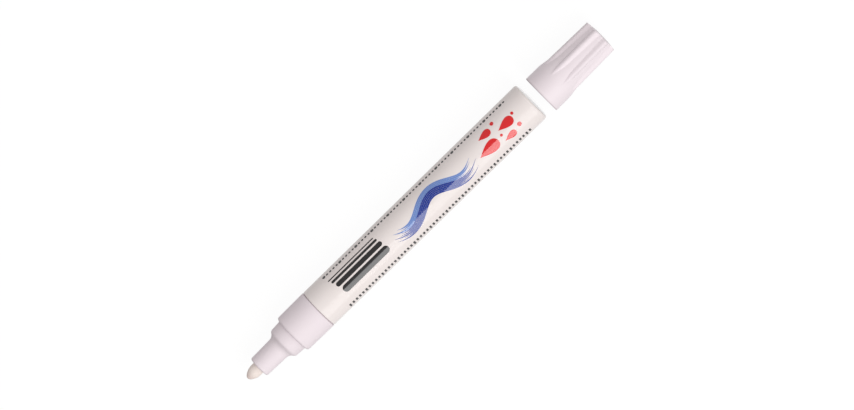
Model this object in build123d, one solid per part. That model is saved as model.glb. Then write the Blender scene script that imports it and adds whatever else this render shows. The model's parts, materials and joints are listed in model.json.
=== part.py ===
from build123d import *
import os
from math import atan2, cos, degrees, hypot, pi, radians, sin, sqrt, tan

# A valve-action paint marker that lies on a table with its cap taken off.
# The pen's axis is X, with the nib at -X and the cap behind the tail at +X.
# The table is z = 0, and the origin lies on it, half way along the laid-out set.
# Lengths are millimetres. Places along the pen, ending in _x, are counted from the nib's tip.

# Fits and shared allowances
press_gap = 0.02
slide_gap = 0.08
overrun = 1.0
rounding_share = 0.8

# Barrel, a drawn can closed at the tail
barrel_diameter = 15.0
barrel_length = 100.0
barrel_wall = 0.5
tail_wall = 0.8
tail_corner = 0.9
tail_inner_corner = 0.5
mouth_edge = 0.2
seam_gap = 0.35

# Front collar: nozzle, flare, step and collar in one moulding, with a spigot in the barrel
nozzle_length = 10.2
nozzle_front_diameter = 7.8
nozzle_rear_diameter = 8.3
nozzle_corner = 0.6
flare_slope = 54.0
flare_foot_share = 0.586
flare_top_share = 0.293
step_length = 4.355
step_draft = 0.28
step_wall = 1.22
collar_length = 12.2
collar_draft = 0.125
collar_ledge = 1.175
collar_corner = 0.8
spigot_length = 7.0
spigot_wall = 1.48
spigot_edge = 0.4

# Passages inside the front collar
nib_guide_length = 8.0
well_gap = 0.92
well_front_wall = 1.2
valve_socket_depth = 13.0

# Ring seal round the spigot
seal_groove_inset = 2.6
seal_groove_width = 1.3
seal_groove_depth = 0.7

# Nib, a fibre rod with a bullet point
nib_diameter = 4.56
nib_length = 27.0
nib_reach = 5.3
nib_nose_radius = 1.2
nib_shoulder = 4.0

# Valve
press_travel = 2.0
flange_gap = 0.5
flange_thickness = 1.0
housing_wall = 1.18
seat_inset = 3.0
seat_thickness = 2.0
seat_aperture_diameter = 4.0
valve_chamber_gap = 0.9
cage_wall = 1.0
cage_window_width = 3.4
cage_window_front_wall = 0.8
cage_window_rear_wall = 0.8
stem_pad_gap = 0.3
stem_pad_length = 1.5
stem_rod_diameter = 2.4
stem_head_diameter = 6.0
stem_head_thickness = 1.6
stem_tail_diameter = 2.0
stem_tail_inset = 0.3
valve_seal_thickness = 0.8
spring_length = 9.6
spring_inset = 0.2
spring_wire = 0.5
spring_turns = 6
spring_points_per_turn = 24
guide_boss_gap = 0.55
guide_boss_stop_gap = 0.4
cup_plug_length = 1.2
cup_rim_thickness = 0.8

# Mixing ball, loose in the barrel
ball_diameter = 6.0
ball_gap = 0.2

# Cap: a round mouth band, then a core that narrows quickly at first, and ridges that stand out of it
cap_length = 28.4
cap_setback = 0.045
cap_band_length = 6.6
cap_band_draft = 0.05
cap_band_blend = 14.0
cap_flute_run = 6.0
cap_flute_share = 0.37
cap_flute_blend = 18.0
cap_core_end_wall = 1.22
cap_ridge_end_height = 1.0
cap_ridge_count = 8
cap_ridge_flank_slope = 48.0
cap_ridge_root = 0.6
cap_ridge_round = 1.0
cap_ridge_end_corner = 0.5
cap_core_end_corner = 0.3
cap_end_crown = 0.45
cap_end_flat_diameter = 5.0
cap_end_blend = 8.0
cap_mouth_edge = 0.25
cap_end_wall = 1.4
cap_bore_clearance = 0.05
cap_bore_extra_depth = 0.945
cap_throat_length = 3.6
liner_clearance = 0.15
liner_wall = 0.5
liner_floor = 0.8
liner_lip = 0.3

# Where the cap lies behind the tail
cap_distance = 3.7
cap_side_offset = 0.8
cap_yaw = 0.2

# Radii
barrel_radius = barrel_diameter / 2
barrel_bore_radius = barrel_radius - barrel_wall
nozzle_front_radius = nozzle_front_diameter / 2
nozzle_rear_radius = nozzle_rear_diameter / 2
collar_front_radius = barrel_radius - collar_draft
step_rear_radius = collar_front_radius - collar_ledge
step_front_radius = step_rear_radius - step_draft
spigot_radius = barrel_bore_radius - press_gap
seal_groove_radius = spigot_radius - seal_groove_depth
nib_radius = nib_diameter / 2
nib_guide_radius = nib_radius + slide_gap
valve_socket_radius = spigot_radius - spigot_wall
seat_aperture_radius = seat_aperture_diameter / 2
stem_rod_radius = stem_rod_diameter / 2
stem_head_radius = stem_head_diameter / 2
valve_chamber_radius = stem_head_radius + valve_chamber_gap
cage_radius = valve_chamber_radius + cage_wall
spring_radius = stem_head_radius - spring_inset
stem_tail_radius = stem_tail_diameter / 2
ball_radius = ball_diameter / 2
liner_bore_radius = nozzle_front_radius + liner_clearance
liner_radius = liner_bore_radius + liner_wall
liner_socket_radius = liner_radius + press_gap
cap_bore_radius = step_rear_radius + cap_bore_clearance
cap_mouth_radius = collar_front_radius - cap_setback
cap_band_end_radius = cap_mouth_radius - cap_band_draft
cap_core_end_radius = liner_socket_radius + cap_core_end_wall
cap_flute_radius = cap_core_end_radius + (cap_band_end_radius - cap_core_end_radius) * cap_flute_share
cap_ridge_end_radius = cap_core_end_radius + cap_ridge_end_height
cap_end_flat_radius = cap_end_flat_diameter / 2

# Places along the pen
nozzle_front_x = nib_reach
flare_foot_x = nozzle_front_x + nozzle_length
step_front_x = flare_foot_x + (step_front_radius - nozzle_rear_radius) / tan(radians(flare_slope))
collar_front_x = step_front_x + step_length
barrel_mouth_x = collar_front_x + collar_length
spigot_end_x = barrel_mouth_x + spigot_length
tail_x = barrel_mouth_x + barrel_length
socket_floor_x = spigot_end_x - valve_socket_depth
flange_end_x = spigot_end_x + flange_thickness
seat_face_x = spigot_end_x - seat_inset
stem_head_x = seat_face_x + valve_seal_thickness
spring_front_x = stem_head_x + stem_head_thickness
spring_rear_x = spring_front_x + spring_length
cage_end_x = spring_rear_x + cup_plug_length
cup_end_x = cage_end_x + cup_rim_thickness
ball_front_stop_x = cup_end_x + ball_radius + ball_gap
ball_rear_stop_x = tail_x - tail_wall - ball_radius - ball_gap
cap_mouth_x = tail_x + cap_distance
laid_length = cap_mouth_x + cap_length

# Places along the cap, counted from its mouth
cap_floor_depth = cap_length - cap_end_wall
cap_bore_depth = step_length + cap_bore_extra_depth
cap_throat_depth = cap_bore_depth + cap_throat_length


def turned(*corners):
    """A turned solid about the X axis; each corner is (place, radius) or (place, radius, rounding)."""
    points = [(corner[0], corner[1]) for corner in corners]
    roundings = [corner[2] if len(corner) > 2 else 0 for corner in corners]
    outline = FilletPolyline(*points, radius=roundings, close=True)
    return revolve(make_face(outline.edges()), Axis.X)


def within(rounding, wall):
    """A corner rounding, limited by the wall that carries it."""
    return min(rounding, wall * rounding_share)


def barrel_can():
    """The drawn can: open at the mouth, closed and rounded at the tail."""
    front_x = barrel_mouth_x + seam_gap
    floor_x = tail_x - tail_wall
    return turned(
        (front_x, barrel_bore_radius),
        (front_x, barrel_radius, within(mouth_edge, barrel_wall)),
        (tail_x, barrel_radius, tail_corner),
        (tail_x, 0),
        (floor_x, 0),
        (floor_x, barrel_bore_radius, tail_inner_corner),
    )


def front_collar():
    """Nozzle, flare, step and collar, with the spigot that is pressed into the barrel."""
    flare_face = hypot(step_front_radius - nozzle_rear_radius, step_front_x - flare_foot_x)
    flare_limit = flare_face / tan(radians(flare_slope) / 2)
    nozzle_wall = nozzle_front_radius - nib_guide_radius
    well_radius = nib_radius + well_gap
    chamber_radius = step_front_radius - step_wall
    chamber_x = step_front_x + well_front_wall
    guide_end_x = nozzle_front_x + nib_guide_length
    groove_x = barrel_mouth_x + seal_groove_inset
    groove_end_x = groove_x + seal_groove_width
    return turned(
        (nozzle_front_x, nib_guide_radius),
        (nozzle_front_x, nozzle_front_radius, within(nozzle_corner, nozzle_wall)),
        (flare_foot_x, nozzle_rear_radius, flare_limit * flare_foot_share),
        (step_front_x, step_front_radius, flare_limit * flare_top_share),
        (collar_front_x, step_rear_radius),
        (collar_front_x, collar_front_radius, within(collar_corner, collar_ledge)),
        (barrel_mouth_x, barrel_radius, within(mouth_edge, barrel_wall)),
        (barrel_mouth_x, spigot_radius),
        (groove_x, spigot_radius),
        (groove_x, seal_groove_radius),
        (groove_end_x, seal_groove_radius),
        (groove_end_x, spigot_radius),
        (spigot_end_x, spigot_radius, within(spigot_edge, spigot_wall)),
        (spigot_end_x, valve_socket_radius),
        (socket_floor_x, valve_socket_radius),
        (socket_floor_x, chamber_radius),
        (chamber_x, chamber_radius),
        (chamber_x, well_radius),
        (guide_end_x, well_radius),
        (guide_end_x, nib_guide_radius),
    )


def barrel_seal():
    """The rubber ring in the spigot's groove, between the groove's floor and the barrel's wall."""
    section_radius = (barrel_bore_radius - seal_groove_radius) / 2 - press_gap
    middle_radius = (barrel_bore_radius + seal_groove_radius) / 2
    middle_x = barrel_mouth_x + seal_groove_inset + seal_groove_width / 2
    section = Pos(middle_x, middle_radius) * Circle(section_radius)
    return revolve(section, Axis.X)


def nib():
    """The fibre rod: a round nose, an ogive that meets it tangentially, and a straight shank."""
    taper = nib_shoulder - nib_nose_radius
    widening = nib_radius - nib_nose_radius
    ogive_radius = (taper ** 2 + nib_radius ** 2 - nib_nose_radius ** 2) / (2 * widening)
    ogive_centre = Vector(nib_shoulder, nib_radius - ogive_radius)
    to_nose = Vector(nib_nose_radius, 0) - ogive_centre
    meeting = ogive_centre + to_nose.normalized() * ogive_radius
    nose = TangentArc((0, 0), meeting, tangent=(0, 1))
    ogive = TangentArc(meeting, (nib_shoulder, nib_radius), tangent=nose % 1)
    shank = Polyline((nib_shoulder, nib_radius), (nib_length, nib_radius), (nib_length, 0), (0, 0))
    return revolve(make_face([*nose.edges(), *ogive.edges(), *shank.edges()]), Axis.X)


def valve_housing():
    """The valve's body: a sleeve in the collar's socket, a seat wall and a windowed cage."""
    housing_radius = valve_socket_radius - press_gap
    bore_radius = housing_radius - housing_wall
    flange_radius = barrel_bore_radius - flange_gap
    seat_front_x = seat_face_x - seat_thickness
    body = turned(
        (socket_floor_x, bore_radius),
        (socket_floor_x, housing_radius),
        (spigot_end_x, housing_radius),
        (spigot_end_x, flange_radius),
        (flange_end_x, flange_radius),
        (flange_end_x, cage_radius),
        (cage_end_x, cage_radius),
        (cage_end_x, valve_chamber_radius),
        (seat_face_x, valve_chamber_radius),
        (seat_face_x, seat_aperture_radius),
        (seat_front_x, seat_aperture_radius),
        (seat_front_x, bore_radius),
    )
    window_x = flange_end_x + cage_window_front_wall
    window_end_x = spring_rear_x - cage_window_rear_wall
    window = Box(window_end_x - window_x, cage_window_width, cage_radius * 2 + overrun)
    window = Pos((window_x + window_end_x) / 2, 0, 0) * window
    return body - window - Rot(90, 0, 0) * window


def spring_cup():
    """The plug at the cage's rear end: it backs the spring and guides the stem's tail."""
    tail_bore_radius = stem_tail_radius + slide_gap
    boss_radius = spring_radius - spring_wire - guide_boss_gap
    boss_x = spring_front_x + press_travel + guide_boss_stop_gap
    plug_radius = valve_chamber_radius - press_gap
    return turned(
        (boss_x, tail_bore_radius),
        (boss_x, boss_radius),
        (spring_rear_x, boss_radius),
        (spring_rear_x, plug_radius),
        (cage_end_x, plug_radius),
        (cage_end_x, cage_radius),
        (cup_end_x, cage_radius),
        (cup_end_x, tail_bore_radius),
    )


def valve_stem():
    """The stem: a pad behind the nib, a rod through the seat, the head, and a tail in the spring."""
    pad_radius = seat_aperture_radius - stem_pad_gap
    pad_end_x = nib_length + stem_pad_length
    tail_end_x = cup_end_x - stem_tail_inset
    return turned(
        (nib_length, 0),
        (nib_length, pad_radius),
        (pad_end_x, pad_radius),
        (pad_end_x, stem_rod_radius),
        (stem_head_x, stem_rod_radius),
        (stem_head_x, stem_head_radius),
        (spring_front_x, stem_head_radius),
        (spring_front_x, stem_tail_radius),
        (tail_end_x, stem_tail_radius),
        (tail_end_x, 0),
    )


def valve_seal():
    """The rubber washer on the stem, in front of the head: it closes the seat's aperture at rest."""
    hole_radius = stem_rod_radius + press_gap
    return turned(
        (seat_face_x, hole_radius),
        (seat_face_x, stem_head_radius),
        (stem_head_x, stem_head_radius),
        (stem_head_x, hole_radius),
    )


def coil_arcs(start_x, end_x, radius, turns):
    """The unbroken line of a coil about the X axis, as two tangent arcs for each quarter turn."""
    quarters = turns * 4
    rise = (end_x - start_x) / quarters
    points = []
    headings = []
    for quarter in range(quarters + 1):
        angle = quarter * pi / 2
        points.append(Vector(start_x + rise * quarter, radius * cos(angle), radius * sin(angle)))
        headings.append(Vector(rise * 2 / pi, -radius * sin(angle), radius * cos(angle)).normalized())
    arcs = []
    for first, second, leaving, arriving in zip(points, points[1:], headings, headings[1:]):
        chord = second - first
        lean = chord.dot(leaving + arriving)
        bend = 2 * (1 - leaving.dot(arriving))
        reach = (sqrt(lean ** 2 + bend * chord.dot(chord)) - lean) / bend
        control_start = first + leaving * reach
        control_end = second - arriving * reach
        meeting = (control_start + control_end) / 2
        arcs.append(TangentArc(first, meeting, tangent=leaving))
        arcs.append(TangentArc(meeting, second, tangent=control_end - control_start))
    return arcs


def least_coil_gap(line, turns, wire):
    """The least clear gap between turns of a coil, measured on points at least half a turn apart."""
    count = turns * spring_points_per_turn
    points = [line.position_at(step / count) for step in range(count + 1)]
    half_turn = spring_points_per_turn // 2
    distances = []
    for step, point in enumerate(points):
        distances += [(point - other).length for other in points[step + half_turn:]]
    return min(distances) - wire


def valve_spring():
    """The coil that pushes the stem's head back to its seat."""
    wire_radius = spring_wire / 2
    start_x = spring_front_x + wire_radius + press_gap
    end_x = spring_rear_x - wire_radius - press_gap
    arcs = coil_arcs(start_x, end_x, spring_radius - wire_radius, spring_turns)
    line = Wire([arc.edge() for arc in arcs])
    gap = least_coil_gap(line, spring_turns, spring_wire)
    print("valve spring, least gap between turns:", round(gap, 3))
    section = Plane(origin=line @ 0, z_dir=line % 0) * Circle(wire_radius)
    return sweep(section, path=line)


def mixing_ball():
    """The loose steel ball, low in the barrel and half way along its free run."""
    ball_x = (ball_front_stop_x + ball_rear_stop_x) / 2
    drop = barrel_bore_radius - ball_radius - ball_gap
    return Pos(ball_x, 0, -drop) * Sphere(ball_radius)


def cap_end_depth(radius):
    """How far from the mouth the cap's crowned end lies at a radius outside its flat middle."""
    crown_slope = cap_end_crown / (cap_ridge_end_radius - cap_end_flat_radius)
    return cap_length - (radius - cap_end_flat_radius) * crown_slope


def cap_ridge():
    """One ridge of the cap, at its top: a bar with sloping flanks and a round crest, and a round end."""
    start_share = cap_band_length / cap_length
    start_radius = cap_mouth_radius + (cap_ridge_end_radius - cap_mouth_radius) * start_share
    flank_slope = radians(cap_ridge_flank_slope)
    apex_radius = start_radius + cap_ridge_round / cos(flank_slope) - cap_ridge_round
    base_radius = start_radius - cap_ridge_end_height - cap_ridge_root
    half_base = (apex_radius - base_radius) / tan(flank_slope)
    corners = [(-half_base, base_radius), (0, apex_radius), (half_base, base_radius)]
    outline = FilletPolyline(*corners, radius=[0, cap_ridge_round, 0], close=True)
    start_plane = Plane(origin=(cap_band_length, 0, 0), x_dir=(0, 1, 0), z_dir=(1, 0, 0))
    section = start_plane * make_face(outline.edges())
    along = Vector(cap_length - cap_band_length, 0, cap_ridge_end_radius - start_radius)
    rim_radius = cap_ridge_end_radius + press_gap
    rounded_end = turned(
        (0, 0),
        (0, cap_mouth_radius + press_gap),
        (cap_end_depth(rim_radius), rim_radius, cap_ridge_end_corner),
        (cap_length, cap_end_flat_radius, cap_end_blend),
        (cap_length, 0),
    )
    return extrude(section, amount=along.length, dir=along) & rounded_end


def cap_shell():
    """The cap's outside: mouth band, narrowing core and ridges, hollowed for the step and the liner."""
    shell = turned(
        (0, 0),
        (0, cap_mouth_radius, within(cap_mouth_edge, cap_mouth_radius - cap_bore_radius)),
        (cap_band_length, cap_band_end_radius, cap_band_blend),
        (cap_band_length + cap_flute_run, cap_flute_radius, cap_flute_blend),
        (cap_end_depth(cap_core_end_radius), cap_core_end_radius, cap_core_end_corner),
        (cap_length, cap_end_flat_radius, cap_end_blend),
        (cap_length, 0),
    )
    ridge = cap_ridge()
    for number in range(cap_ridge_count):
        shell += Rot((number + 0.5) * 360 / cap_ridge_count, 0, 0) * ridge
    hollow = turned(
        (-overrun, 0),
        (-overrun, cap_bore_radius),
        (cap_bore_depth, cap_bore_radius),
        (cap_throat_depth, liner_socket_radius),
        (cap_floor_depth, liner_socket_radius),
        (cap_floor_depth, 0),
    )
    return shell - hollow


def cap_liner():
    """The soft cup inside the cap that seals round the nozzle."""
    floor_depth = cap_floor_depth - liner_floor
    return turned(
        (cap_throat_depth, liner_bore_radius),
        (cap_throat_depth, liner_radius, within(liner_lip, liner_wall)),
        (cap_floor_depth, liner_radius),
        (cap_floor_depth, 0),
        (floor_depth, 0),
        (floor_depth, liner_bore_radius),
    )


def pen_place():
    """The pen lies on the barrel, with its axis one barrel radius above the table."""
    return Pos(-laid_length / 2, 0, barrel_radius)


def cap_place():
    """The cap lies on the end of its mouth band and on the rounded ends of its two lowest ridges."""
    crest_centre = cap_ridge_end_radius - cap_ridge_round
    resting_radius = crest_centre * cos(pi / cap_ridge_count) + cap_ridge_round
    pitch = atan2(cap_band_end_radius - resting_radius, cap_length - cap_band_length)
    mouth_height = cap_band_length * sin(pitch) + cap_band_end_radius * cos(pitch)
    mouth = Pos(cap_mouth_x - laid_length / 2, -cap_side_offset, mouth_height)
    return mouth * Rot(0, 0, cap_yaw) * Rot(0, degrees(pitch), 0)


pen_pieces = {
    "barrel_can": barrel_can,
    "front_collar": front_collar,
    "barrel_seal": barrel_seal,
    "nib": nib,
    "valve_housing": valve_housing,
    "spring_cup": spring_cup,
    "valve_stem": valve_stem,
    "valve_seal": valve_seal,
    "valve_spring": valve_spring,
    "mixing_ball": mixing_ball,
}
cap_pieces = {
    "cap_shell": cap_shell,
    "cap_liner": cap_liner,
}

os.makedirs("parts", exist_ok=True)
for place, pieces in ((pen_place(), pen_pieces), (cap_place(), cap_pieces)):
    for name, make_piece in pieces.items():
        export_step(place * make_piece(), f"parts/{name}.step")
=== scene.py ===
import json
import math

import bmesh
import bpy
from mathutils import Matrix, Vector


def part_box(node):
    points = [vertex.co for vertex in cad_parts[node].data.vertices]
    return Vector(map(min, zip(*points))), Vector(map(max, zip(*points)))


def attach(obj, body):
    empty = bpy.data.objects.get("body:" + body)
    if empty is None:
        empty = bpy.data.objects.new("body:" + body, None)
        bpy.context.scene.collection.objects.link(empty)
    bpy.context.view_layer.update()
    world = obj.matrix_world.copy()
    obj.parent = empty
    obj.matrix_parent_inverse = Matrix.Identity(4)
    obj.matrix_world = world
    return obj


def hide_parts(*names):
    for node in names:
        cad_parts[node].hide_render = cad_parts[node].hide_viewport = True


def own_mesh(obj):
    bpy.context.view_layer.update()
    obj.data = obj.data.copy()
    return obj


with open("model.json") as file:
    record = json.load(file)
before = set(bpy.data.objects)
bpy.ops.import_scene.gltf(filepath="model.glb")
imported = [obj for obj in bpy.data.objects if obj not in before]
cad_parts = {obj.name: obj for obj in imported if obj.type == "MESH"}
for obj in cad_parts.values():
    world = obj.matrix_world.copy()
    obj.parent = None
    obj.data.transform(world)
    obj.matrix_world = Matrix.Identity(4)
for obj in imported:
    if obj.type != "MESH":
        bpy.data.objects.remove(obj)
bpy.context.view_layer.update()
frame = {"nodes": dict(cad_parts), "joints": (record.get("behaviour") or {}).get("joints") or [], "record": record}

# A valve-action paint marker that lies on a white table with its cap taken off.
# Lengths are metres. The pen's axis is X, with the nib at -X, and +Z is up from the table.

MM = 0.001

# The picture: its framing at the height of the pen's axis, and where the camera stands
PICTURE_WIDTH_PX = 854
MM_PER_PX = 0.3349
PEN_SLOPE = math.radians(44.35)
PICTURE_CENTRE = (1.17 * MM, -0.48 * MM)
CAMERA_FOOT = (170 * MM, 105 * MM)
CAMERA_HEIGHT = 2.5
SENSOR_WIDTH_MM = 36

# Light: a pale sky that brightens towards the cap's end, a softbox over the pen's right side,
# and the table's white
SKY_COLOUR = (1.0, 0.962, 0.968)
SKY_STRENGTH = 0.685
SKY_SKEW = 0.4
SOFTBOX_TILT = math.radians(42.3)
SOFTBOX_DISTANCE = 0.9
SOFTBOX_SIZE = (0.32, 0.855)
SOFTBOX_POWER = 3.55
TABLE_SIZE = 12.0
TABLE_GLOW = 0.93
TABLE_SHADED_SHARE = 0.09
TABLE_BOUNCE = 0.3

# The barrel, as the frame has it
barrel_low, barrel_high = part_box("barrel_can")
BARREL_RADIUS = (barrel_high.y - barrel_low.y) / 2
AXIS_HEIGHT = (barrel_high.z + barrel_low.z) / 2

# Painted shade on the white mouldings: a darker band in the seam at the barrel's front, and one round
# the mouth of the cap, whose axis drops a little towards its closed end
SEAM_SHADE_REACH = 0.36 * MM
RIM_SHADE_REACH = 0.6 * MM
RIM_SHADE_SHARE = 0.5
CAP_LEAN = 0.0424

# Print on the barrel: a thin layer of ink that grips the lacquer
PRINT_PROUD = 0.03 * MM
PRINT_SUNK = 0.05 * MM
PRINT_START = -40.3 * MM
PRINT_LENGTH = 84.0 * MM
LINE_NUDGE = 0.004
MERGE_DISTANCE = 1e-7
SHARP_ANGLE = math.radians(40)

# How finely the print's strokes are cut, along (steps) and across (lanes)
BAR_STEPS, BAR_LANES = 40, 4
DOT_STEPS = 20
TICK_STEPS, TICK_LANES = 4, 1
DROP_STEPS, DROP_LANES = 36, 16
STRAND_STEPS, STRAND_LANES = 140, 2

# The blue brush wave: strands side by side along one winding line
WAVE_START = -14.2 * MM
WAVE_LENGTH = 38.5 * MM
WAVE_SWING = 2.3 * MM
WAVE_TURNS = 1.5
WAVE_STRANDS = 8
WAVE_PALE_STRANDS = 3
STRAND_PITCH = 0.56 * MM
STRAND_FILL = 0.94

# Each strand starts and ends at its own share of the line, and thins out there
STRAND_START, STRAND_START_SPREAD, STRAND_START_BEAT = 0.045, 0.045, 2.3
STRAND_END, STRAND_END_SPREAD, STRAND_END_BEAT, STRAND_END_PHASE = 0.93, 0.07, 1.7, 1
STRAND_START_SLOPE = 9
STRAND_END_SLOPE = 7

# The red drops and dots, in mm: x and arc of the tip or the middle, then the length or the size
DROPS = ((25.3, 1.4, 8.6), (28.8, -3.2, 5.4), (35.4, 3.3, 5.0), (36.0, -0.9, 6.6))
DROP_DOTS = ((36.0, -4.4, 1.4), (35.8, 0.9, 1.0), (42.7, 2.4, 1.6), (43.4, -2.0, 1.1))
DROP_BREADTH_SHARE = 0.6
DROP_SWELL = 1.22
DROP_TAPER = 1.5

# The black stroke samples, each thicker than the last
SAMPLE_START = -40.1 * MM
SAMPLE_LENGTH = 21.0 * MM
SAMPLE_STAGGER = 0.6 * MM
SAMPLE_BREADTHS = (0.45 * MM, 0.9 * MM, 1.65 * MM, 2.7 * MM)
SAMPLE_GAP = 0.65 * MM
SAMPLE_ARC = -5.1 * MM

# The fine rows along both sides of the print: ticks and beads, of which every fifth is larger
ROW_ARC = 7.8 * MM
ROW_PITCH = 1.5 * MM
ROW_LARGE_EVERY = 5
TICK_BREADTH = 0.75 * MM
TICK_INNER = 0.9 * MM
TICK_OUTER, LARGE_TICK_OUTER = 0.6 * MM, 1.1 * MM
BEAD_SIZE, LARGE_BEAD_SIZE = 0.9 * MM, 1.3 * MM

# The valve's coil spring
SPRING_WIRE_RADIUS = 0.25 * MM
SPRING_TURNS = 6
SPRING_POINTS_PER_TURN = 40
SPRING_WIRE_SIDES = 12


class Value:
    """A shader socket that can be used in Python arithmetic: each operation adds a Math node."""

    def __init__(self, nodes, socket):
        self.nodes = nodes
        self.socket = socket

    def maths(self, operation, first, second):
        return self.nodes.add("Math", {"operation": operation}, {0: first, 1: second})

    def __add__(self, other):
        return self.maths("ADD", self, other)

    __radd__ = __add__

    def __sub__(self, other):
        return self.maths("SUBTRACT", self, other)

    def __rsub__(self, other):
        return self.maths("SUBTRACT", other, self)

    def __mul__(self, other):
        return self.maths("MULTIPLY", self, other)

    __rmul__ = __mul__

    def at_least(self, other):
        return self.maths("MAXIMUM", self, other)


class Nodes:
    """The node tree of a material or the world."""

    def __init__(self, owner):
        owner.use_nodes = True
        self.world = isinstance(owner, bpy.types.World)
        self.tree = owner.node_tree
        self.tree.nodes.clear()

    def add(self, kind, settings=(), values=(), output=0):
        """Adds a set-up node, fills its sockets with numbers or links, and returns one output."""
        node = self.tree.nodes.new("ShaderNode" + kind)
        for name, setting in dict(settings).items():
            setattr(node, name, setting)
        for name, value in dict(values).items():
            if isinstance(value, Value):
                self.tree.links.new(value.socket, node.inputs[name])
            else:
                node.inputs[name].default_value = value
        return Value(self, node.outputs[output])

    def place(self, stretch=(1, 1, 1)):
        """A point's place on the piece at rest, or a direction of the sky, stretched by axis."""
        here = self.add("TexCoord", output="Generated" if self.world else "Object")
        return self.add("VectorMath", {"operation": "MULTIPLY"}, {0: here, 1: stretch})

    def along(self, axis):
        """How far along X, Y or Z a point or a direction reaches."""
        return self.add("SeparateXYZ", values={"Vector": self.place()}, output=axis)

    def noise(self, size, stretch=(1, 1, 1), detail=2.0):
        """Soft noise from 0 to 1 with blotches of about that size."""
        values = {"Vector": self.place(stretch), "Scale": 1 / size, "Detail": detail}
        return self.add("TexNoise", values=values)

    def ramp(self, value, low, high):
        """0 below low, 1 above high, and an even slope between them."""
        values = {"Value": value, "From Min": low, "From Max": high}
        return self.add("MapRange", {"clamp": True}, values)

    def mix(self, share, first, second):
        """One colour that goes over into another."""
        return self.add("Mix", {"data_type": "RGBA"}, {0: share, 6: first, 7: second}, output=2)

    def bump(self, height, depth):
        """A normal for relief of that depth."""
        return self.add("Bump", values={"Height": height, "Distance": depth})

    def surface(self, shader):
        """Links the finished shader to the output."""
        kind = "OutputWorld" if self.world else "OutputMaterial"
        output = self.tree.nodes.new("ShaderNode" + kind)
        self.tree.links.new(shader.socket, output.inputs["Surface"])


def colour(red, green, blue):
    """A colour from its sRGB values, 0 to 255."""
    shares = [channel / 255 for channel in (red, green, blue)]
    linear = [s / 12.92 if s <= 0.04045 else ((s + 0.055) / 1.055) ** 2.4 for s in shares]
    return (*linear, 1.0)


def material(name, make):
    """A material whose principled shader gets the socket values that make(nodes) returns."""
    made = bpy.data.materials.new(name)
    nodes = Nodes(made)
    nodes.surface(nodes.add("BsdfPrincipled", values=make(nodes)))
    return made


def barrel_lacquer(nodes):
    """Warm white gloss lacquer with a faint orange peel, a clouded tone and fine rubbing."""
    cloud = nodes.noise(9 * MM)
    rubbing = nodes.ramp(nodes.noise(0.5 * MM, stretch=(0.04, 1, 1), detail=3), 0.5, 0.8)
    return {
        "Base Color": nodes.mix(cloud, colour(237, 230, 226), colour(241, 235, 232)),
        "Roughness": 0.07 + 0.05 * rubbing,
        "IOR": 1.5,
        "Specular IOR Level": 0.17,
        "Normal": nodes.bump(nodes.noise(1.6 * MM), 0.0015 * MM),
    }


def white_moulding(nodes):
    """Faintly lilac white plastic with painted shade at two edges, the seam and the cap's mouth; the front is
    duller than the cap.
    """
    flow = nodes.noise(6 * MM, stretch=(0.35, 1, 1))
    grain = nodes.noise(0.18 * MM, detail=3)
    clean = nodes.mix(flow, colour(236, 227, 231), colour(241, 232, 236))
    along = nodes.along("X")
    seam = barrel_low.x
    tail = barrel_high.x
    front = 1 - nodes.ramp(along, seam, tail)
    past_seam = nodes.ramp(along, seam + SEAM_SHADE_REACH, tail)
    # Painted shade: a band over the seam's groove, where the barrel's mouth meets the collar
    seam_shade = nodes.ramp(along, seam - SEAM_SHADE_REACH, seam) - past_seam
    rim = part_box("cap_shell")[0].x
    inward = along - CAP_LEAN * nodes.along("Z")
    # Painted shade: a band round the cap's mouth, where its rounded edge faces away from the light
    rim_shade = nodes.ramp(along, tail, rim) - nodes.ramp(inward, rim, rim + RIM_SHADE_REACH)
    return {
        # Painted shade: both bands go over to a darker grey-lilac
        "Base Color": nodes.mix(seam_shade + RIM_SHADE_SHARE * rim_shade, clean, colour(150, 136, 142)),
        "Roughness": 0.36 + 0.2 * front + 0.08 * grain,
        "IOR": 1.49,
        "Specular IOR Level": 0.34,
        "Normal": nodes.bump(grain, 0.002 * MM),
    }


def nib_fibre(nodes):
    """Bonded fibre: fine strands along the nib, a few darker ones, and a stained point."""
    strand = nodes.noise(0.16 * MM, stretch=(0.06, 1, 1), detail=3)
    speck = nodes.ramp(nodes.noise(0.3 * MM, detail=3), 0.62, 0.8)
    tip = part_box("nib")[0].x
    stain = 1 - nodes.ramp(nodes.along("X"), tip, tip + 2.4 * MM)
    strands = nodes.mix(strand, colour(242, 229, 220), colour(252, 244, 237))
    speckled = nodes.mix(0.3 * speck, strands, colour(218, 198, 187))
    return {
        "Base Color": nodes.mix(0.42 * stain, speckled, colour(226, 196, 191)),
        "Roughness": 0.82 + 0.12 * strand,
        "Normal": nodes.bump(strand + 0.5 * speck, 0.012 * MM),
    }


def natural_moulding(nodes):
    """Natural plastic of the valve's pieces."""
    grain = nodes.noise(0.3 * MM, detail=3)
    return {
        "Base Color": nodes.mix(nodes.noise(4 * MM), colour(226, 226, 220), colour(235, 235, 230)),
        "Roughness": 0.42 + 0.12 * grain,
        "Normal": nodes.bump(grain, 0.002 * MM),
    }


def liner_moulding(nodes):
    """Soft natural plastic of the cap's inner cup, a little waxy."""
    grain = nodes.noise(0.5 * MM, detail=3)
    return {
        "Base Color": nodes.mix(nodes.noise(5 * MM), colour(228, 225, 221), colour(238, 236, 232)),
        "Roughness": 0.36 + 0.12 * grain,
        "Normal": nodes.bump(grain, 0.003 * MM),
    }


def seal_rubber(nodes):
    """Matt black rubber."""
    grain = nodes.noise(0.2 * MM, detail=4)
    return {
        "Base Color": nodes.mix(grain, colour(30, 30, 32), colour(48, 47, 48)),
        "Roughness": 0.62 + 0.2 * grain,
        "Normal": nodes.bump(grain, 0.01 * MM),
    }


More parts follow.
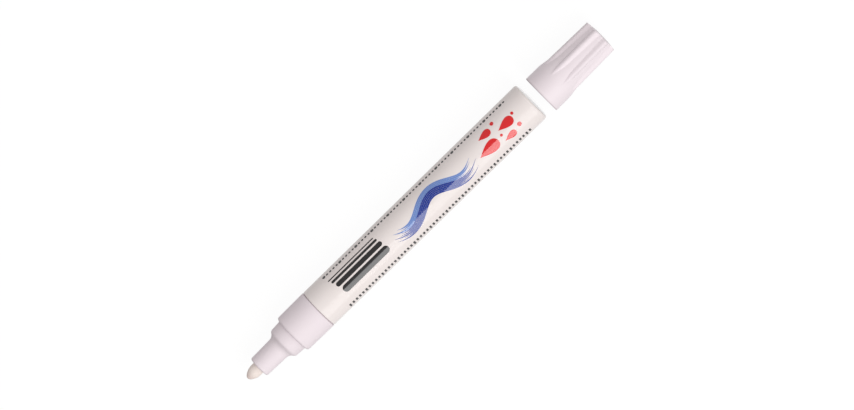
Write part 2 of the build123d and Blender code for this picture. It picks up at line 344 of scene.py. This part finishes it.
def drawn_steel(nodes):
    """Bright wire with fine drawing lines."""
    lines = nodes.noise(0.06 * MM, detail=3)
    return {
        "Base Color": nodes.mix(lines, colour(188, 189, 192), colour(216, 217, 219)),
        "Metallic": 1.0,
        "Roughness": 0.24 + 0.16 * lines,
    }


def ball_steel(nodes):
    """A polished ball, dulled in patches."""
    dull = nodes.noise(2 * MM, detail=4)
    return {
        "Base Color": nodes.mix(dull, colour(196, 197, 200), colour(224, 225, 227)),
        "Metallic": 1.0,
        "Roughness": 0.08 + 0.14 * dull,
    }


def ink(tone, deep):
    """Screen-printed ink under the lacquer's gloss, slightly uneven in depth."""

    def make(nodes):
        pull = nodes.noise(0.5 * MM, stretch=(1, 0.4, 0.4), detail=3)
        return {
            "Base Color": nodes.mix(pull, tone, deep),
            "Roughness": 0.08 + 0.05 * pull,
            "IOR": 1.6,
            "Normal": nodes.bump(nodes.noise(1.6 * MM), 0.0015 * MM),
        }

    return make


def dress_nodes():
    """Gives each CAD node its finish."""
    finishes = {
        "barrel_lacquer": barrel_lacquer,
        "white_moulding": white_moulding,
        "nib_fibre": nib_fibre,
        "valve_moulding": natural_moulding,
        "liner_moulding": liner_moulding,
        "seal_rubber": seal_rubber,
        "spring_steel": drawn_steel,
        "ball_steel": ball_steel,
    }
    made = {slot: material(slot + "_finish", make) for slot, make in finishes.items()}
    for subpart in frame["record"]["subparts"]:
        node = frame["nodes"][subpart["node"]]
        for slot in node.material_slots:
            slot.material = made[subpart["material_slot"]]
    return made


def new_piece(name, shape, finish, body):
    """Makes a named object of a bmesh, smooth but for sharp edges, and lets it ride on a body."""
    bmesh.ops.recalc_face_normals(shape, faces=shape.faces)
    mesh = bpy.data.meshes.new(name)
    shape.to_mesh(mesh)
    shape.free()
    mesh.shade_smooth()
    mesh.set_sharp_from_angle(angle=SHARP_ANGLE)
    mesh.materials.append(finish)
    made = bpy.data.objects.new(name, mesh)
    bpy.context.scene.collection.objects.link(made)
    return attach(made, body)


def closed_skin(shape, top, bottom):
    """Joins two like grids of points into one thin closed skin."""
    rows = len(top)
    lanes = len(top[0])
    grids = [[[shape.verts.new(point) for point in row] for row in grid] for grid in (top, bottom)]
    for grid in grids:
        for row in range(rows - 1):
            for lane in range(lanes - 1):
                corners = [(row, lane), (row + 1, lane), (row + 1, lane + 1), (row, lane + 1)]
                shape.faces.new([grid[r][l] for r, l in corners])
    rim = [(row, 0) for row in range(rows)]
    rim += [(rows - 1, lane) for lane in range(1, lanes)]
    rim += [(row, lanes - 1) for row in range(rows - 2, -1, -1)]
    rim += [(0, lane) for lane in range(lanes - 2, 0, -1)]
    for here, there in zip(rim, rim[1:] + rim[:1]):
        shape.faces.new([
            grids[0][here[0]][here[1]],
            grids[0][there[0]][there[1]],
            grids[1][there[0]][there[1]],
            grids[1][here[0]][here[1]],
        ])


def on_barrel(x, arc, height):
    """The point at x, an arc's length from the top towards -Y, that high on the lacquer."""
    turn = arc / BARREL_RADIUS
    radius = BARREL_RADIUS + height
    return Vector((x, -radius * math.sin(turn), AXIS_HEIGHT + radius * math.cos(turn)))


def sideways(line, share):
    """The direction across a line of (x, arc) places, at a share of its length."""
    before = Vector(line(max(0, share - LINE_NUDGE)))
    after = Vector(line(min(1, share + LINE_NUDGE)))
    heading = after - before
    return Vector((-heading.y, heading.x)).normalized()


def stroke(shape, line, breadth, steps, lanes):
    """Prints a stroke: line(share) is its middle as (x, arc), breadth(share) its breadth there."""
    top = []
    bottom = []
    for step in range(steps + 1):
        share = step / steps
        side = sideways(line, share) * breadth(share)
        points = [Vector(line(share)) + side * (lane / lanes - 0.5) for lane in range(lanes + 1)]
        top.append([on_barrel(*point, PRINT_PROUD) for point in points])
        bottom.append([on_barrel(*point, -PRINT_SUNK) for point in points])
    closed_skin(shape, top, bottom)


def tidy_print(shape):
    """Closes the pointed ends of strokes, where a row of points falls together."""
    bmesh.ops.remove_doubles(shape, verts=shape.verts, dist=MERGE_DISTANCE)
    bmesh.ops.dissolve_degenerate(shape, dist=MERGE_DISTANCE, edges=shape.edges)


def eased(share):
    """A share of a line with its steps close together at both ends."""
    return (1 - math.cos(math.pi * share)) / 2


def eased_line(start, length):
    """A line along the barrel from an (x, arc), with its steps close together at both ends."""
    first = Vector(start)
    return lambda share: first + Vector((length * eased(share), 0))


def tick(shape, start, end, breadth):
    """Prints a short straight bar from start to end, each an (x, arc)."""
    first, last = Vector(start), Vector(end)

    def line(share):
        return first.lerp(last, share)

    stroke(shape, line, lambda share: breadth, TICK_STEPS, TICK_LANES)


def round_bar(shape, start, length, breadth, steps=BAR_STEPS):
    """Prints a bar along the barrel with round ends."""
    reach = breadth / 2

    def broad(share):
        inset = length * min(eased(share), 1 - eased(share))
        return 2 * math.sqrt(reach ** 2 - max(0, reach - inset) ** 2)

    stroke(shape, eased_line(start, length), broad, steps, BAR_LANES)


def dot(shape, middle, size):
    """Prints a round dot."""
    round_bar(shape, Vector(middle) - Vector((size / 2, 0)), size, size, DOT_STEPS)


def drop(shape, tip, length, breadth):
    """Prints a drop with its tip towards the nib."""

    def broad(share):
        turn = math.pi * share
        return breadth * DROP_SWELL * math.sin(turn) * math.sin(turn / 2) ** DROP_TAPER

    stroke(shape, eased_line(tip, length), broad, DROP_STEPS, DROP_LANES)


def print_wave(blue, pale):
    """A winding brush mark: strands with ragged ends, the three along one edge paler."""

    def middle(share):
        turn = 2 * math.pi * WAVE_TURNS * share
        return (WAVE_START + WAVE_LENGTH * share, WAVE_SWING * math.sin(turn))

    full = bmesh.new()
    thin = bmesh.new()
    for number in range(WAVE_STRANDS):
        offset = (number - (WAVE_STRANDS - 1) / 2) * STRAND_PITCH
        lead = STRAND_START + STRAND_START_SPREAD * math.sin(STRAND_START_BEAT * number)
        beat = STRAND_END_BEAT * number + STRAND_END_PHASE
        trail = STRAND_END + STRAND_END_SPREAD * math.sin(beat)

        def line(share):
            place = lead + (trail - lead) * share
            return Vector(middle(place)) + sideways(middle, place) * offset

        def broad(share):
            end = min(1, STRAND_START_SLOPE * share, STRAND_END_SLOPE * (1 - share))
            return STRAND_PITCH * STRAND_FILL * end

        shape = thin if number < WAVE_PALE_STRANDS else full
        stroke(shape, line, broad, STRAND_STEPS, STRAND_LANES)
    for name, shape, finish in (("print_wave", full, blue), ("print_wave_echo", thin, pale)):
        tidy_print(shape)
        new_piece(name, shape, finish, "barrel")


def print_drops(red):
    """Paint drops of different sizes, scattered behind the brush mark."""
    shape = bmesh.new()
    for x, arc, length in DROPS:
        drop(shape, (x * MM, arc * MM), length * MM, DROP_BREADTH_SHARE * length * MM)
    for x, arc, size in DROP_DOTS:
        dot(shape, (x * MM, arc * MM), size * MM)
    tidy_print(shape)
    new_piece("print_drops", shape, red, "barrel")


def print_samples(black):
    """Stroke samples from fine to bold, side by side."""
    shape = bmesh.new()
    arc = SAMPLE_ARC
    for number, breadth in enumerate(SAMPLE_BREADTHS):
        start = SAMPLE_START + SAMPLE_STAGGER * number
        round_bar(shape, (start, arc + breadth / 2), SAMPLE_LENGTH, breadth)
        arc += breadth + SAMPLE_GAP
    tidy_print(shape)
    new_piece("print_samples", shape, black, "barrel")


def print_rows(black):
    """A ruled scale along one side of the print and a row of beads along the other."""
    shape = bmesh.new()
    for number in range(round(PRINT_LENGTH / ROW_PITCH) + 1):
        x = PRINT_START + ROW_PITCH * number
        large = number % ROW_LARGE_EVERY == 0
        outer = LARGE_TICK_OUTER if large else TICK_OUTER
        tick(shape, (x, ROW_ARC - TICK_INNER), (x, ROW_ARC + outer), TICK_BREADTH)
        dot(shape, (x, -ROW_ARC), LARGE_BEAD_SIZE if large else BEAD_SIZE)
    tidy_print(shape)
    new_piece("print_rows", shape, black, "barrel")


def print_on_barrel():
    """A plain design in blue, red and black ink, with no lettering."""
    blue = material("ink_blue", ink(colour(8, 54, 154), colour(6, 46, 140)))
    pale = material("ink_pale_blue", ink(colour(118, 150, 212), colour(104, 138, 202)))
    red = material("ink_red", ink(colour(226, 8, 14), colour(214, 6, 12)))
    black = material("ink_black", ink(colour(6, 5, 6), colour(14, 12, 13)))
    print_wave(blue, pale)
    print_drops(red)
    print_samples(black)
    print_rows(black)


def valve_spring(finish):
    """The valve's coil, wound as a wire helix in place of the CAD node's spring."""
    low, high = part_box("valve_spring")
    wire = SPRING_WIRE_RADIUS
    sides = SPRING_WIRE_SIDES
    coil = (high.y - low.y) / 2 - wire
    run = high.x - low.x - 2 * wire
    shape = bmesh.new()
    rings = []
    count = SPRING_TURNS * SPRING_POINTS_PER_TURN
    for step in range(count + 1):
        turn = 2 * math.pi * step / SPRING_POINTS_PER_TURN
        outward = Vector((0, math.cos(turn), math.sin(turn)))
        middle = Vector((low.x + wire + run * step / count, 0, AXIS_HEIGHT)) + outward * coil
        ring = []
        for side in range(sides):
            angle = 2 * math.pi * side / sides
            lean = outward * math.cos(angle) + Vector((1, 0, 0)) * math.sin(angle)
            ring.append(shape.verts.new(middle + lean * wire))
        rings.append(ring)
    for here, there in zip(rings, rings[1:]):
        for side in range(sides):
            after = (side + 1) % sides
            shape.faces.new([here[side], here[after], there[after], there[side]])
    shape.faces.new(rings[0])
    shape.faces.new(rings[-1])
    spring = new_piece("closing_spring", shape, finish, "barrel")
    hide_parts("valve_spring")
    press = next(joint for joint in frame["joints"] if joint["name"] == "nib_press")
    travel = press["range_m"][1]
    length = high.x - low.x
    1 - travel / length
    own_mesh(spring)


def table():
    """The white table: white to the eye and in reflections, but with the pen's soft shadow."""
    shape = bmesh.new()
    bmesh.ops.create_grid(shape, x_segments=1, y_segments=1, size=TABLE_SIZE / 2)
    mesh = bpy.data.meshes.new("table")
    shape.to_mesh(mesh)
    shape.free()
    made = bpy.data.materials.new("table_white")
    nodes = Nodes(made)
    seen = nodes.add("LightPath", output="Is Camera Ray")
    seen = seen.at_least(nodes.add("LightPath", output="Is Glossy Ray"))
    seen = seen.at_least(nodes.add("LightPath", output="Is Transmission Ray"))
    shaded = nodes.add("BsdfDiffuse", values={"Color": (*[TABLE_SHADED_SHARE] * 3, 1)})
    glow = nodes.add("Emission", values={"Strength": TABLE_GLOW})
    white = nodes.add("AddShader", values={0: shaded, 1: glow})
    plain = nodes.add("BsdfDiffuse", values={"Color": (*[TABLE_BOUNCE] * 3, 1)})
    nodes.surface(nodes.add("MixShader", values={0: seen, 1: plain, 2: white}))
    mesh.materials.append(made)
    top = bpy.data.objects.new("table", mesh)
    bpy.context.scene.collection.objects.link(top)


def light():
    """A pale sky that brightens towards the cap's end, and a softbox over the pen's right side."""
    sky = bpy.data.worlds.new("sky")
    bpy.context.scene.world = sky
    nodes = Nodes(sky)
    shares = (1 - SKY_SKEW, 1 + SKY_SKEW)
    dim, bright = ((*[channel * share for channel in SKY_COLOUR], 1) for share in shares)
    tone = nodes.mix(nodes.ramp(nodes.along("X"), -1, 1), dim, bright)
    nodes.surface(nodes.add("Background", values={"Color": tone, "Strength": SKY_STRENGTH}))
    lamp = bpy.data.lights.new("softbox", "AREA")
    lamp.shape = "RECTANGLE"
    lamp.size, lamp.size_y = SOFTBOX_SIZE
    lamp.energy = SOFTBOX_POWER
    softbox = bpy.data.objects.new("softbox", lamp)
    bpy.context.scene.collection.objects.link(softbox)
    back = Vector((0, -math.sin(SOFTBOX_TILT), math.cos(SOFTBOX_TILT)))
    stand(softbox, Vector((1, 0, 0)), back, Vector((0, 0, AXIS_HEIGHT)) + back * SOFTBOX_DISTANCE)
    softbox.visible_camera = False


def stand(thing, right, back, place):
    """Puts a lamp or the camera at a place, with its right side and its back turned as given."""
    right = (right - back * right.dot(back)).normalized()
    turned = Matrix((right, back.cross(right), back)).transposed()
    thing.matrix_world = Matrix.Translation(place) @ turned.to_4x4()


def camera():
    """Looks down on the pen, which slopes up to the right in the picture."""
    lens = bpy.data.cameras.new("camera")
    made = bpy.data.objects.new("camera", lens)
    bpy.context.scene.collection.objects.link(made)
    target = Vector((*PICTURE_CENTRE, AXIS_HEIGHT))
    place = Vector((*CAMERA_FOOT, CAMERA_HEIGHT))
    back = (place - target).normalized()
    pen = (Vector((1, 0, 0)) - back * back.x).normalized()
    right = pen * math.cos(PEN_SLOPE) - back.cross(pen) * math.sin(PEN_SLOPE)
    stand(made, right, back, place)
    lens.sensor_width = SENSOR_WIDTH_MM
    lens.lens = SENSOR_WIDTH_MM * (place - target).length / (PICTURE_WIDTH_PX * MM_PER_PX * MM)
    bpy.context.scene.camera = made


finishes = dress_nodes()
print_on_barrel()
valve_spring(finishes["spring_steel"])
table()
light()
camera()
bpy.context.scene.view_settings.view_transform = "Standard"
